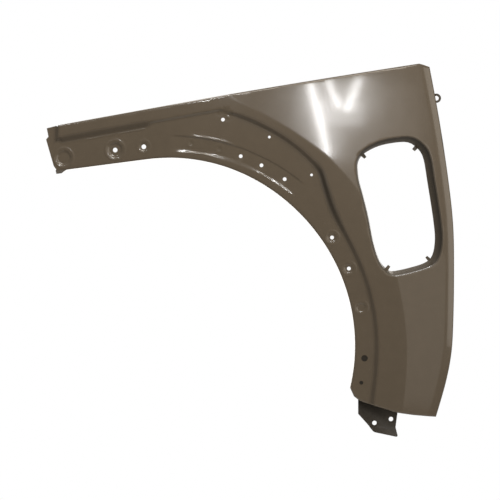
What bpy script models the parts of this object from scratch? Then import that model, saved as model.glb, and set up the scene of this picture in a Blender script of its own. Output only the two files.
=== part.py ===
"""Left front fender of a car, pressed from one steel sheet, with its two welded brackets.

Metres, +Z up. X runs to the rear of the car, Y into the car and Z up, so the painted side faces -Y.
The shape is worked out about the wheel-arch centre. The world origin is on the underside of the
rearmost bolt tab of the top flange, beside its hole, where the fender rests on the car body.

The panel is made as it is in the press shop: a flat blank is cut and pierced, pressed to the die
surface, and its edges are folded in. The sheet gets its thickness last.
"""
import math

import bmesh
import bpy
from mathutils import Vector
from mathutils.geometry import delaunay_2d_cdt
from mathutils.kdtree import KDTree

# The wheel arch, and how far the panel reaches from its centre. The panel is REAR_WIDTH wide behind the
# arch and ARM_HEIGHT high above it.
ARCH_RADIUS = 0.390
ARCH_RISE = 0.005
REAR_WIDTH = 0.203
ARM_HEIGHT = 0.204
FRONT_REACH = 0.2635
LOW_REACH = 0.1455
REAR_REACH = ARCH_RADIUS + REAR_WIDTH
TOP_REACH = ARCH_RADIUS + ARM_HEIGHT
TOP_SLOPE_DEG = 9.4
ARCH_START_DEG = -12.7
ARCH_RISE_START_DEG = 35.0
ARCH_TOP_DEG = 90.0
RUN_OUT_DEG = 96.8

# The sheet, its folded edges and the spacing of the mesh.
SHEET = 0.0008
FOLD_RADIUS = 0.003
ARCH_FLANGE = 0.009
BOTTOM_FLANGE = 0.008
DOOR_FLANGE = 0.012
EDGE_PITCH = 0.012
SKIN_PITCH = 0.0155
FEATURE_PITCH = 0.012
WEB = 0.0065
STITCH = 0.0012
MITRE_SHARE = 0.5
SHARP_DEG = 30.0

# The crown of the outer skin: how far it falls away from its widest point.
WIDEST_X = 0.37
WIDEST_Z = 0.16
TOP_LEAN = 0.065
LOW_TUCK = 0.018
FRONT_SWEEP = 0.065
REAR_SWEEP = 0.006
DOOR_ROLL_WIDTH = 0.022
DOOR_ROLL_DEPTH = 0.0035
DOOR_ROLL_SHARES = (1, 0.6, 0.3)

# The crease that ends the painted skin, and the band that slopes in from it.
CREASE_REACH = 0.154
CREASE_SOFTNESS = 0.005
BAND_SLOPE_DEG = 7.0
CREASE_END_DEG = 84
CREASE_SHARES = (
    (-20, 0.79), (-10, 0.715), (0, 0.685), (15, 0.68), (40, 0.79), (60, 0.83), (73, 0.915), (80, 1.03),
    (130, 1.12),
)

# The joggle that drops the band to the land around the wheel arch.
LAND_REACH = 0.120
JOGGLE_DEPTH = 0.005
JOGGLE_WIDTH = 0.008
LAND_START_DEG = -16
LAND_END_DEG = 130
LAND_SHARES = (
    (-20, 0.50), (-12, 0.43), (-4, 0.40), (25, 0.40), (34, 0.43), (40, 0.51), (45, 0.66), (49, 0.81),
    (53, 0.86), (62, 0.93), (78, 1.0), (100, 1.05), (130, 1.08),
)
TOP_BAND = 0.026
FRONT_JOGGLE_WIDTH = 0.0125
FRONT_JOGGLE_REAR_X = -0.044
FRONT_JOGGLE_FADE = 0.012
FRONT_STRIP = 0.0275

# The shallow track pressed along the arch, which stiffens the land.
TRACK_OFFSET = 0.0355
TRACK_HALF_WIDTH = 0.0175
TRACK_WALL = 0.004
TRACK_DEPTH = 0.0018
TRACK_START_DEG = 49
TRACK_END_DEG = 90
TRACK_FADE = 0.03

# Round seats pressed into the land, and the holes in it.
SEAT_RADIUS = 0.0175
SEAT_FLOOR_RADIUS = 0.0115
SEAT_DEPTH = 0.003
SMALL_SEAT_RADIUS = 0.0105
SMALL_SEAT_FLOOR_RADIUS = 0.0065
SMALL_SEAT_DEPTH = 0.0016
CLIP_HOLE_RADIUS = 0.005
SCREW_HOLE_RADIUS = 0.004
PILOT_HOLE_RADIUS = 0.0028
DRAIN_HOLE_RADIUS = 0.0066
HOLE_SIDES = 12
SEAT_SIDES = 16
LAND_LINE = 0.020
TRACK_LINE = 0.035
FRONT_LINE = 0.066
CLIP_LINE = 0.038
MIDDLE_LINE = 0.032
APEX_LINE = 0.098
UPPER_LINE = 0.095
CORNER_LINE = 0.0755
FRONT_SEAT_INSET = 0.039

# Each of them: its bearing in degrees, its line outside the arch, its seat, and the radius of its hole.
LARGE_SEAT = (SEAT_RADIUS, SEAT_FLOOR_RADIUS, SEAT_DEPTH)
SMALL_SEAT = (SMALL_SEAT_RADIUS, SMALL_SEAT_FLOOR_RADIUS, SMALL_SEAT_DEPTH)
NO_SEAT = (0, 0, 0)
FRONT_SEAT_DEG = math.degrees(math.acos((FRONT_SEAT_INSET - FRONT_REACH) / (ARCH_RADIUS + FRONT_LINE)))
SEATS = (
    (FRONT_SEAT_DEG, FRONT_LINE, LARGE_SEAT, 0),
    (105.4, CLIP_LINE, LARGE_SEAT, CLIP_HOLE_RADIUS),
    (97.1, MIDDLE_LINE, SMALL_SEAT, CLIP_HOLE_RADIUS),
    (76.3, APEX_LINE, NO_SEAT, SCREW_HOLE_RADIUS),
    (68.9, TRACK_LINE, NO_SEAT, SCREW_HOLE_RADIUS),
    (62.5, TRACK_LINE, NO_SEAT, SCREW_HOLE_RADIUS),
    (54.9, TRACK_LINE, NO_SEAT, SCREW_HOLE_RADIUS),
    (64.0, UPPER_LINE, NO_SEAT, PILOT_HOLE_RADIUS),
    (49.9, CORNER_LINE, NO_SEAT, PILOT_HOLE_RADIUS),
    (33.5, LAND_LINE, SMALL_SEAT, SCREW_HOLE_RADIUS),
    (23.3, LAND_LINE, SMALL_SEAT, SCREW_HOLE_RADIUS),
    (11.5, LAND_LINE, SMALL_SEAT, 0),
    (-3.3, LAND_LINE, NO_SEAT, DRAIN_HOLE_RADIUS),
    (-10.5, LAND_LINE, NO_SEAT, SCREW_HOLE_RADIUS),
)

# The port behind the arch, which takes a side vent. It fills what the webs round it leave.
PORT_BEHIND_ARCH = 0.00285
PORT_DOOR_WEB = 0.02665
PORT_TOP_WEB = 0.161
PORT_FOOT = 0.149
PORT_WIDTH = REAR_WIDTH - PORT_BEHIND_ARCH - PORT_DOOR_WEB
PORT_HEIGHT = TOP_REACH - PORT_TOP_WEB - PORT_FOOT
PORT_X = ARCH_RADIUS + PORT_BEHIND_ARCH + PORT_WIDTH / 2
PORT_Z = PORT_FOOT + PORT_HEIGHT / 2
PORT_WALL = 0.022
PORT_PITCH = 0.0095
PORT_DRAFT = 0.0075
PORT_LEAN = 0.003
PORT_TAB_LENGTH = 0.0085
PORT_SHARES = (
    (-0.99, 0.66), (-0.86, 0.80), (-0.47, 0.935), (-0.02, 0.998), (0.34, 1.0), (0.60, 0.895), (0.75, 0.73),
    (0.84, 0.37), (0.98, -0.25), (1.0, -0.53), (0.92, -0.75), (0.74, -0.86), (0.40, -0.935), (-0.11, -1.0),
    (-0.29, -0.955), (-0.47, -0.83), (-0.625, -0.56), (-0.75, -0.17), (-0.875, 0.146), (-0.97, 0.37),
    (-1.0, 0.54),
)
PORT_TAB_SHARES = ((-0.80, 0.80), (0.52, 0.93), (0.86, -0.82), (-0.33, -0.94))

# The top flange, with the tabs that bolt to the body.
TOP_WALL = 0.020
TOP_WALL_LEAN_DEG = 48.0
LEDGE = 0.006
TAB_LENGTH = 0.026
TAB_WIDTH = 0.034
TAB_FLARE = 0.007
TAB_HOLE_RADIUS = 0.0045
TAB_HOLE_INSET = 0.012
TAB_SHARES = (0.07, 0.36, 0.66, 0.93)
SEAT_ASIDE = 0.011

# The outline behind the arch where it isn't an arc: shares of the rear width, and of the reach up or down.
TOP_REAR_SHARES = ((0.686, 1.0), (0.728, 0.9965), (0.797, 0.989))
DOOR_SHARES = (
    (0.797, 0.989), (0.877, 0.793), (0.953, 0.578), (0.994, 0.421), (1.0, 0.253), (0.994, 0.084),
    (0.978, -0.082), (0.926, -0.495), (0.829, -1.0),
)
BOTTOM_SHARES = (
    (0.829, -1.0), (0.594, -0.970), (0.427, -0.937), (0.238, -0.860), (0.059, -0.786), (-0.008, -0.712),
)

# The front end: shares of the reach to the front, and of the height of the arm there.
FRONT_SHARES = ((0.922, 0), (1.0, 0.729), (0.981, 0.786), (0.996, 0.979), (0.919, 0.994))
TOP_START_SHARE = 0.904
FRONT_TAB_START_SHARE = 0.86
FRONT_TAB_DROP = 0.0055

# The lower bracket, welded behind the land: a leg on the sheet, a step back, a plate and a lip turned out.
# Its top stands BRACKET_RISE above the foot of the panel.
# Each row gives the left and right end as shares of the width, both drops as shares of the height, and
# the shares of the setback and of the lip.
BRACKET_SHEET = 0.0018
BRACKET_INSET = 0.0085
BRACKET_RISE = 0.1395
BRACKET_TOP = BRACKET_RISE - LOW_REACH
BRACKET_WIDTH = 0.082
BRACKET_HEIGHT = 0.184
BRACKET_SETBACK = 0.019
BRACKET_LIP = 0.010
BRACKET_CORNER = 0.004
BRACKET_COLUMNS = 12
ROW_STEPS = 4
BRACKET_HOLE_RADIUS = 0.0047
BRACKET_HOLE_SHARES = ((0.836, 0.798), (0.415, 0.842))
BRACKET_ROW_SHARES = (
    (0.0, 0.29, 0.0, 0.0, 0.0, 0.0),
    (0.0, 0.29, 0.424, 0.424, 0.0, 0.0),
    (0.0, 0.60, 0.511, 0.511, 0.85, 0.0),
    (0.0, 1.0, 0.576, 0.587, 1.0, 0.0),
    (0.0, 1.0, 0.739, 0.734, 1.0, 0.0),
    (0.285, 0.953, 0.880, 0.890, 1.0, 0.0),
    (0.388, 1.0, 0.931, 0.992, 1.0, 1.0),
)

# The ear at the door edge that fixes the panel to the pillar: a foot on the flange and a round eye.
EAR_DROP = 0.073
EAR_OUT = 0.0048
EAR_SETBACK = 0.019
EAR_RADIUS = 0.0098
EAR_HOLE_RADIUS = 0.005
EAR_SHEET = 0.0016
EAR_BEND = 0.003
EAR_FOOT_HEIGHT = 0.034
EAR_FOOT_DEPTH = 0.013
EAR_COLUMNS = 10
EAR_STEPS = 4
EAR_TIP_STEPS = 7
EAR_TIP_DEG = 82
WELD_GAP = 0.0003

CUT_OVERRUN = 0.004

STEEL_COAT = (0.105, 0.086, 0.064, 1.0)
STEEL_ROUGHNESS = 0.38
BRACKET_COAT = (0.070, 0.060, 0.048, 1.0)
BRACKET_ROUGHNESS = 0.5


def smooth(share):
    share = min(max(share, 0.0), 1.0)
    return share * share * (3 - 2 * share)


def rear_place(x_share, z_share):
    """A point of the outline behind the arch, from its shares."""
    up = TOP_REACH if z_share > 0 else LOW_REACH
    return Vector((ARCH_RADIUS + x_share * REAR_WIDTH, z_share * up))


def polar(radius, degrees):
    angle = math.radians(degrees)
    return Vector((radius * math.cos(angle), radius * math.sin(angle)))


def bearing(x, z):
    return math.degrees(math.atan2(z, x))


def table(shares, at):
    """A smooth curve through (position, share) pairs, flat past both ends."""
    if at <= shares[0][0]:
        return shares[0][1]
    for i in range(len(shares) - 1):
        start, end = shares[i], shares[i + 1]
        if at <= end[0]:
            before, after = shares[max(i - 1, 0)], shares[min(i + 2, len(shares) - 1)]
            span = end[0] - start[0]
            t = (at - start[0]) / span
            rise_in = (end[1] - before[1]) / max(end[0] - before[0], span) * span
            rise_out = (after[1] - start[1]) / max(after[0] - start[0], span) * span
            bend = (2 * t ** 3 - 3 * t ** 2 + 1) * start[1] + (t ** 3 - 2 * t ** 2 + t) * rise_in
            return bend + (3 * t ** 2 - 2 * t ** 3) * end[1] + (t ** 3 - t ** 2) * rise_out
    return shares[-1][1]


def spline(points, closed=False, steps=8):
    """A Catmull-Rom curve through the points."""
    count = len(points)
    curve = []
    for i in range(count if closed else count - 1):
        if closed:
            a, b, c, d = (points[(i + k) % count] for k in (-1, 0, 1, 2))
        else:
            a, b, c, d = (points[min(max(i + k, 0), count - 1)] for k in (-1, 0, 1, 2))
        for step in range(steps):
            t = step / steps
            near = 2 * b + (c - a) * t + (2 * a - 5 * b + 4 * c - d) * t ** 2
            curve.append((near + (3 * b - a - 3 * c + d) * t ** 3) / 2)
    return curve if closed else curve + [points[-1]]


def resample(points, pitch):
    """The same line with its points spaced evenly, its two ends kept."""
    lengths = [(b - a).length for a, b in zip(points, points[1:])]
    total = sum(lengths)
    count = max(round(total / pitch), 1)
    spaced = [points[0]]
    walked, i = 0.0, 0
    for k in range(1, count):
        target = total * k / count
        while walked + lengths[i] < target:
            walked += lengths[i]
            i += 1
        spaced.append(points[i].lerp(points[i + 1], (target - walked) / lengths[i]))
    return spaced + [points[-1]]


def inside(point, loop):
    """Whether the point lies in the closed outline."""
    found = False
    for a, b in zip(loop, loop[1:] + loop[:1]):
        if (a.y > point.y) != (b.y > point.y):
            found ^= point.x < a.x + (b.x - a.x) * (point.y - a.y) / (b.y - a.y)
    return found


def top_height(x):
    """The height of the straight top edge."""
    corner_x = rear_place(*TOP_REAR_SHARES[0]).x
    return TOP_REACH - math.tan(math.radians(TOP_SLOPE_DEG)) * (corner_x - x)


DOOR_LINE = spline([rear_place(*pair) for pair in DOOR_SHARES])


def door_edge(z):
    for upper, lower in zip(DOOR_LINE, DOOR_LINE[1:]):
        if lower.y <= z <= upper.y:
            return lower.x + (upper.x - lower.x) * (z - lower.y) / (upper.y - lower.y)
    return DOOR_LINE[0].x if z > DOOR_LINE[0].y else DOOR_LINE[-1].x


def arch_point(degrees):
    """A point of the arch edge, whose radius grows a little towards the top."""
    share = smooth((degrees - ARCH_RISE_START_DEG) / (ARCH_TOP_DEG - ARCH_RISE_START_DEG))
    return polar(ARCH_RADIUS + ARCH_RISE * share, degrees)


def run_out_height(x):
    """The height of the straight edge that runs on to the front from the end of the arch."""
    end = arch_point(RUN_OUT_DEG)
    return end.y + math.tan(math.radians(RUN_OUT_DEG - 90)) * (x - end.x)


def front_place(x_share, z_share):
    """A point of the front end, from its shares."""
    x = -x_share * FRONT_REACH
    foot = run_out_height(x)
    return Vector((x, foot + z_share * (top_height(x) - foot)))


def crease_radius(x, z):
    return ARCH_RADIUS + CREASE_REACH * table(CREASE_SHARES, bearing(x, z))


def land_radius(x, z):
    return ARCH_RADIUS + LAND_REACH * table(LAND_SHARES, bearing(x, z))


def crown(x, z):
    """The smooth outer form: upright at its widest point, leaning in to the top, front, foot and door."""
    up = max((z - WIDEST_Z) / (TOP_REACH - WIDEST_Z), 0)
    down = max((WIDEST_Z - z) / (WIDEST_Z + LOW_REACH), 0)
    fore = max((WIDEST_X - x) / (WIDEST_X + FRONT_REACH), 0)
    aft = max((x - WIDEST_X) / (REAR_REACH - WIDEST_X), 0)
    roll = max(1 - (door_edge(z) - x) / DOOR_ROLL_WIDTH, 0)
    lean = TOP_LEAN * up ** 2 + LOW_TUCK * down ** 2
    return lean + FRONT_SWEEP * fore ** 2 + REAR_SWEEP * aft ** 2 + DOOR_ROLL_DEPTH * roll ** 2


def band(x, z):
    """The slope that falls from the crease towards the arch, rounded at the crease."""
    inward = crease_radius(x, z) - math.hypot(x, z)
    if inward < -CREASE_SOFTNESS:
        return 0.0
    slope = math.tan(math.radians(BAND_SLOPE_DEG))
    if inward > CREASE_SOFTNESS:
        return slope * inward
    return slope * (inward + CREASE_SOFTNESS) ** 2 / (4 * CREASE_SOFTNESS)


def below_top_band(x, z):
    return (top_height(x) - z) * math.cos(math.radians(TOP_SLOPE_DEG)) - TOP_BAND


def strip_x():
    """Where the flat strip at the front end starts."""
    return FRONT_STRIP - FRONT_REACH


def into_land(x, z):
    """How far a point lies past the upper line of the joggle."""
    ahead = strip_x() - x
    return max(min(below_top_band(x, z), land_radius(x, z) - math.hypot(x, z)), ahead)


def joggle_width(x):
    rear = smooth((x - FRONT_JOGGLE_REAR_X) / FRONT_JOGGLE_FADE)
    front = smooth((x - strip_x()) / JOGGLE_WIDTH) * (1 - rear)
    return JOGGLE_WIDTH + (FRONT_JOGGLE_WIDTH - JOGGLE_WIDTH) * front


def track_share(x, z):
    """How far a point is into the stiffening track, from 0 outside it to 1 on its floor."""
    radius = math.hypot(x, z)
    wall = TRACK_HALF_WIDTH - abs(radius - ARCH_RADIUS - TRACK_OFFSET)
    start = math.radians(bearing(x, z) - TRACK_START_DEG) * radius
    end = math.radians(TRACK_END_DEG - bearing(x, z)) * radius
    return smooth(wall / TRACK_WALL) * smooth(start / TRACK_FADE) * smooth(end / TRACK_FADE)


def seat_centre(seat):
    return polar(ARCH_RADIUS + seat[1], seat[0])


def seat_depth(x, z):
    for seat in SEATS:
        centre = seat_centre(seat)
        radius, floor, depth = seat[2]
        out = math.hypot(x - centre.x, z - centre.y)
        if out < radius:
            return depth * smooth((radius - out) / (radius - floor))
    return 0.0


def die(x, z):
    """The depth Y of the outer side of the sheet."""
    step = JOGGLE_DEPTH * smooth(into_land(x, z) / joggle_width(x))
    return crown(x, z) + band(x, z) + step + TRACK_DEPTH * track_share(x, z) + seat_depth(x, z)


def pressed(point, extra=0.0):
    return Vector((point.x, die(point.x, point.y) + extra, point.y))


def tab_centre_x(share):
    start = front_place(TOP_START_SHARE, 1).x
    return start + share * (rear_place(*TOP_REAR_SHARES[0]).x - start)


def top_stations():
    """Where the top edge has its points: evenly, and at both sides of each bolt tab."""
    start = front_place(TOP_START_SHARE, 1).x
    end = rear_place(*TOP_REAR_SHARES[0]).x
    marks = []
    for share in TAB_SHARES:
        for side in (-1, 1):
            marks.append(tab_centre_x(share) + side * TAB_WIDTH / 2)
            marks.append(tab_centre_x(share) + side * (TAB_WIDTH / 2 + TAB_FLARE))
    for k in range(1, round((end - start) / EDGE_PITCH)):
        x = start + EDGE_PITCH * k
        if all(abs(x - mark) > EDGE_PITCH / 2 for mark in marks) and x < end - EDGE_PITCH / 2:
            marks.append(x)
    return [start] + sorted(marks) + [end]


def panel_outline():
    """The outer edge as seen from the side, as (point, stretch) pairs, round the panel once."""
    stretches = []
    arc = [arch_point(ARCH_START_DEG + k) for k in range(round(RUN_OUT_DEG - ARCH_START_DEG))]
    arc.append(arch_point(RUN_OUT_DEG))
    front = [front_place(*pair) for pair in FRONT_SHARES]
    stretches.append(("arch", resample(arc + front[:1], EDGE_PITCH)))
    steps = [resample([a, b], EDGE_PITCH)[1:] for a, b in zip(front, front[1:])]
    stretches.append(("front", [point for step in steps for point in step]))
    stretches.append(("top", [Vector((x, top_height(x))) for x in top_stations()]))
    corner = [rear_place(*pair) for pair in TOP_REAR_SHARES]
    stretches.append(("corner", corner[1:-1]))
    stretches.append(("door", resample(DOOR_LINE, EDGE_PITCH)))
    bottom = [rear_place(*pair) for pair in BOTTOM_SHARES]
    stretches.append(("bottom", resample(bottom, EDGE_PITCH)[1:]))
    return [(point, name) for name, points in stretches for point in points]


def port_outline():
    centre = Vector((PORT_X, PORT_Z))
    half = Vector((PORT_WIDTH / 2, PORT_HEIGHT / 2))
    points = [centre + Vector((u * half.x, v * half.y)) for u, v in PORT_SHARES]
    loop = spline(points, closed=True)
    return resample(loop + [loop[0]], PORT_PITCH)[:-1]


def outward(before, point, after):
    """The mitred direction to the left of the line at a point, one unit clear of both its edges."""
    first = (point - before).normalized()
    second = (after - point).normalized()
    first, second = Vector((-first.y, first.x)), Vector((-second.y, second.x))
    middle = (first + second).normalized()
    return middle / max(middle.dot(first), MITRE_SHARE)


def blank_loop(points, insets):
    """The outline moved in by the fold radius, where the edge is folded."""
    count = len(points)
    loop = []
    for i, (point, inset) in enumerate(zip(points, insets)):
        loop.append(point - inset * outward(points[i - 1], point, points[(i + 1) % count]))
    return loop


def circle(centre, radius, sides):
    return [centre + polar(radius, 360 * k / sides) for k in range(sides)]


def feature_lines():
    """The lines that the mesh follows, because the sheet bends at them."""
    lines = []
    for offset in (-CREASE_SOFTNESS, CREASE_SOFTNESS):
        base = ARCH_RADIUS + offset
        degrees = range(LAND_START_DEG, CREASE_END_DEG)
        lines.append([polar(base + CREASE_REACH * table(CREASE_SHARES, a), a) for a in degrees])
    for part in (0, 1):
        offset = JOGGLE_WIDTH * part
        degrees = range(LAND_START_DEG, LAND_END_DEG)
        arc = [polar(ARCH_RADIUS + LAND_REACH * table(LAND_SHARES, a) - offset, a) for a in degrees]
        lines.append([p for p in arc if below_top_band(*p) > offset and p.x > strip_x()])
        slope = math.cos(math.radians(TOP_SLOPE_DEG))
        run = []
        count = round((REAR_REACH - strip_x()) / FEATURE_PITCH)
        for k in range(count):
            x = strip_x() + FEATURE_PITCH * k
            z = top_height(x) - (TOP_BAND + joggle_width(x) * part) / slope
            if land_radius(x, z) - math.hypot(x, z) > offset:
                run.append(Vector((x, z)))
        lines.append(run)
        x = strip_x() - offset
        lines.append([Vector((x, top_height(x))), Vector((x, top_height(x) - TOP_BAND))])
    for share in DOOR_ROLL_SHARES:
        lines.append([point - Vector((DOOR_ROLL_WIDTH * share, 0)) for point in DOOR_LINE])
    for side in (-1, 1):
        for wall in (0, TRACK_WALL):
            radius = ARCH_RADIUS + TRACK_OFFSET + side * (TRACK_HALF_WIDTH - wall)
            lines.append([polar(radius, a) for a in range(TRACK_START_DEG, TRACK_END_DEG)])
    return [resample(line, FEATURE_PITCH) for line in lines if len(line) > 1]


def clear(point, loops, distance):
    """Whether the point is at least this far from every point of the loops."""
    return all((point - other).length > distance for loop in loops for other in loop)


def panel_blank():
    """The flat blank: cut to its outline, pierced, and meshed along the lines where it will bend."""
    outline = panel_outline()
    points = [point for point, _ in outline]
    insets = [0 if stretch == "front" else FOLD_RADIUS for _, stretch in outline]
    edge = blank_loop(points, insets)
    port = port_outline()
    wide_port = blank_loop(port, [-FOLD_RADIUS] * len(port))
    holes = [circle(seat_centre(seat), seat[3], HOLE_SIDES) for seat in SEATS if seat[3]]
    rings = []
    for seat in SEATS:
        rings += [circle(seat_centre(seat), radius, SEAT_SIDES) for radius in seat[2][:2] if radius]
    flat, lines = [], []

    def add(loop, closed):
        start = len(flat)
        flat.extend(loop)
        lines.extend((start + k, start + k + 1) for k in range(len(loop) - 1))
        if closed:
            lines.append((start + len(loop) - 1, start))

    for loop in [edge, wide_port, *holes, *rings]:
        add(loop, True)
    keep_out = [wide_port, *holes, *rings, edge]
    for line in feature_lines():
        run = []
        for point in line:
            on_sheet = inside(point, edge) and not inside(point, wide_port)
            if on_sheet and clear(point, keep_out, WEB / 2):
                run.append(point)
                continue
            add(run, False)
            run = []
        add(run, False)
    tree = KDTree(len(flat))
    for i, point in enumerate(flat):
        tree.insert(point.to_3d(), i)
    tree.balance()
    row_height = SKIN_PITCH * math.sin(math.radians(60))
    rows = round((TOP_REACH + LOW_REACH) / row_height)
    columns = round((REAR_REACH + FRONT_REACH) / SKIN_PITCH)
    for row in range(rows):
        for column in range(columns):
            x = (column + row % 2 / 2) * SKIN_PITCH - FRONT_REACH
            point = Vector((x, row * row_height - LOW_REACH))
            if inside(point, edge) and not inside(point, wide_port) and tree.find(point.to_3d())[2] > WEB:
                flat.append(point)
    corners, _, faces, _, _, _ = delaunay_2d_cdt(flat, lines, [], 0, STITCH / 10)
    blank = bmesh.new()
    verts = [blank.verts.new((corner.x, 0, corner.y)) for corner in corners]
    cut_out = [wide_port, *holes]
    for face in faces:
        middle = sum((corners[i] for i in face), Vector((0, 0))) / len(face)
        if inside(middle, edge) and not any(inside(middle, loop) for loop in cut_out):
            blank.faces.new([verts[i] for i in face])
    bmesh.ops.delete(blank, geom=[vert for vert in blank.verts if not vert.link_faces], context="VERTS")
    bmesh.ops.remove_doubles(blank, verts=blank.verts, dist=STITCH)
    return blank, outline


def press(blank):
    for vert in blank.verts:
        vert.co = pressed(Vector((vert.co.x, vert.co.z)))
    bmesh.ops.recalc_face_normals(blank, faces=blank.faces)
    if sum(face.normal.y * face.calc_area() for face in blank.faces) > 0:
        bmesh.ops.reverse_faces(blank, faces=blank.faces)


def rim_loops(sheet):
    """The open edges of the sheet, as closed runs of points."""
    following = {}
    for edge in sheet.edges:
        if edge.is_boundary:
            loop = edge.link_loops[0]
            following[loop.vert] = loop.link_loop_next.vert
    loops = []
    while following:
        vert = next(iter(following))
        loop = []
        while vert in following:
            loop.append(vert)
            vert = following.pop(vert)
        loops.append(loop)
    return loops


def rim_facts(loop):
    """For each point of a rim, its place in side view and the direction clear of the sheet."""
    flat = [Vector((vert.co.x, vert.co.z)) for vert in loop]
    facts = {}
    for i, vert in enumerate(loop):
        facts[vert] = (flat[i], outward(flat[(i + 1) % len(flat)], flat[i], flat[i - 1]))
    return facts


def extrude_row(sheet, edges, facts, target):
    """Folds on one more row of faces along these edges. Each new point goes where target says."""
    made = bmesh.ops.extrude_edge_only(sheet, edges=edges)["geom"]
    new = {item for item in made if isinstance(item, bmesh.types.BMVert)}
    for vert in new:
        source = next(edge.other_vert(vert) for edge in vert.link_edges if edge.other_vert(vert) not in new)
        facts[vert] = facts[source]
        vert.co = target(*facts[vert], source.co.copy())
    return [item for item in made if isinstance(item, bmesh.types.BMEdge) and set(item.verts) <= new]


def fold_round(sheet, edges, facts):
    """The rounded fold that every turned edge starts with, in two rows."""
    bend = math.radians(45)

    def halfway(flat, away, _):
        point = flat + FOLD_RADIUS * math.sin(bend) * away
        return pressed(point, FOLD_RADIUS * (1 - math.cos(bend)))

    def turned(flat, away, _):
        return pressed(flat + FOLD_RADIUS * away, FOLD_RADIUS)

    edges = extrude_row(sheet, edges, facts, halfway)
    return extrude_row(sheet, edges, facts, turned)


def ledge_depth(x):
    """How far the top flange reaches in: a narrow ledge, and the full length at each bolt tab."""
    nearest = min(abs(x - tab_centre_x(share)) for share in TAB_SHARES)
    on_tab = 1 - smooth((nearest - TAB_WIDTH / 2) / TAB_FLARE)
    return LEDGE + (TAB_LENGTH - LEDGE) * on_tab


def top_wall():
    lean = math.radians(TOP_WALL_LEAN_DEG)
    return Vector((0, math.cos(lean), -math.sin(lean))) * TOP_WALL


def flange_turn(stretch, flat):
    """The flange of this stretch, from the end of its fold to its edge."""
    if stretch == "top":
        return top_wall()
    if stretch == "corner":
        return (top_wall() + Vector((0, DOOR_FLANGE, 0))) / 2
    if stretch == "door":
        return Vector((0, DOOR_FLANGE, 0))
    if stretch == "bottom":
        return Vector((0, BOTTOM_FLANGE, 0))
    drop = FRONT_TAB_DROP if flat.x < front_place(FRONT_TAB_START_SHARE, 0).x else 0
    return Vector((0, ARCH_FLANGE, -drop))


def fold_outer_edge(sheet, loop, outline):
    """Turns the outer edge in, all round but the raw front strip, and adds the ledge with its bolt tabs."""
    facts = rim_facts(loop)
    tree = KDTree(len(outline))
    for i, (point, _) in enumerate(outline):
        tree.insert(point.to_3d(), i)
    tree.balance()
    stretch = {vert: outline[tree.find(flat.to_3d())[1]][1] for vert, (flat, _) in facts.items()}
    named = {}
    for vert, (flat, away) in facts.items():
        named[flat.freeze()] = stretch[vert]
    edges = [edge for edge in sheet.edges if edge.is_boundary and all(vert in facts for vert in edge.verts)]
    edges = [edge for edge in edges if all(stretch[vert] != "front" for vert in edge.verts)]
    edges = fold_round(sheet, edges, facts)
    edges = extrude_row(sheet, edges, facts, lambda flat, away, co: co + flange_turn(named[flat], flat))
    on_top = [edge for edge in edges if all(named[facts[vert][0]] == "top" for vert in edge.verts)]
    extrude_row(sheet, on_top, facts, lambda flat, away, co: co + Vector((0, ledge_depth(co.x), 0)))


def fold_port(sheet, loop):
    """Turns the wall of the port in, with the four small tabs that locate the vent."""
    facts = rim_facts(loop)
    edges = [edge for edge in sheet.edges if edge.is_boundary and all(vert in facts for vert in edge.verts)]
    edges = fold_round(sheet, edges, facts)

    def wall_end(_, away, co):
        return co + Vector((PORT_DRAFT * away.x - PORT_LEAN, PORT_WALL, PORT_DRAFT * away.y))

    def tab_end(_, away, co):
        return co + Vector((PORT_TAB_LENGTH * away.x, 0, PORT_TAB_LENGTH * away.y))

    edges = extrude_row(sheet, edges, facts, wall_end)
    for u, v in PORT_TAB_SHARES:
        spot = Vector((PORT_X + u * PORT_WIDTH / 2, PORT_Z + v * PORT_HEIGHT / 2))
        nearest = min(edges, key=lambda edge: sum((facts[vert][0] - spot).length for vert in edge.verts))
        extrude_row(sheet, [nearest], facts, tab_end)


def coat(name, colour, roughness):
    material = bpy.data.materials.new(name)
    material.use_nodes = True
    shader = material.node_tree.nodes["Principled BSDF"]
    shader.inputs["Base Color"].default_value = colour
    shader.inputs["Roughness"].default_value = roughness
    shader.inputs["Metallic"].default_value = 0.0
    return material


def add_object(name, sheet, collection, parent, material):
    for face in sheet.faces:
        face.smooth = True
    for edge in sheet.edges:
        edge.smooth = not edge.is_boundary and edge.calc_face_angle(0) < math.radians(SHARP_DEG)
    mesh = bpy.data.meshes.new(name)
    sheet.to_mesh(mesh)
    sheet.free()
    mesh.materials.append(material)
    piece = bpy.data.objects.new(name, mesh)
    collection.objects.link(piece)
    piece.parent = parent
    return piece


def thicken(piece, thickness):
    solidify = piece.modifiers.new("Sheet thickness", "SOLIDIFY")
    solidify.thickness = thickness
    solidify.offset = -1
    solidify.use_even_offset = True


def drill(piece, name, radius, centre, along, collection):
    """A round hole through the sheet at centre, made with a cylinder along the given direction."""
    cutter = bmesh.new()
    bmesh.ops.create_cone(
        cutter, cap_ends=True, segments=HOLE_SIDES * 2, radius1=radius, radius2=radius, depth=CUT_OVERRUN * 2
    )
    mesh = bpy.data.meshes.new(name)
    cutter.to_mesh(mesh)
    cutter.free()
    tool = bpy.data.objects.new(name, mesh)
    collection.objects.link(tool)
    tool.parent = piece.parent
    tool.location = centre
    tool.rotation_euler = along.to_track_quat("Z", "Y").to_euler()
    tool.hide_render = True
    tool.display_type = "WIRE"
    cut = piece.modifiers.new(name, "BOOLEAN")
    cut.operation = "DIFFERENCE"
    cut.solver = "EXACT"
    cut.object = tool


def ledge_edge(x):
    """Where the wall of the top flange meets its ledge, above this station of the top edge."""
    lean = math.radians(TOP_SLOPE_DEG)
    away = Vector((-math.sin(lean), math.cos(lean)))
    silhouette = Vector((x, top_height(x)))
    start = silhouette - FOLD_RADIUS * away
    return pressed(start + FOLD_RADIUS * away, FOLD_RADIUS) + top_wall()


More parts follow.
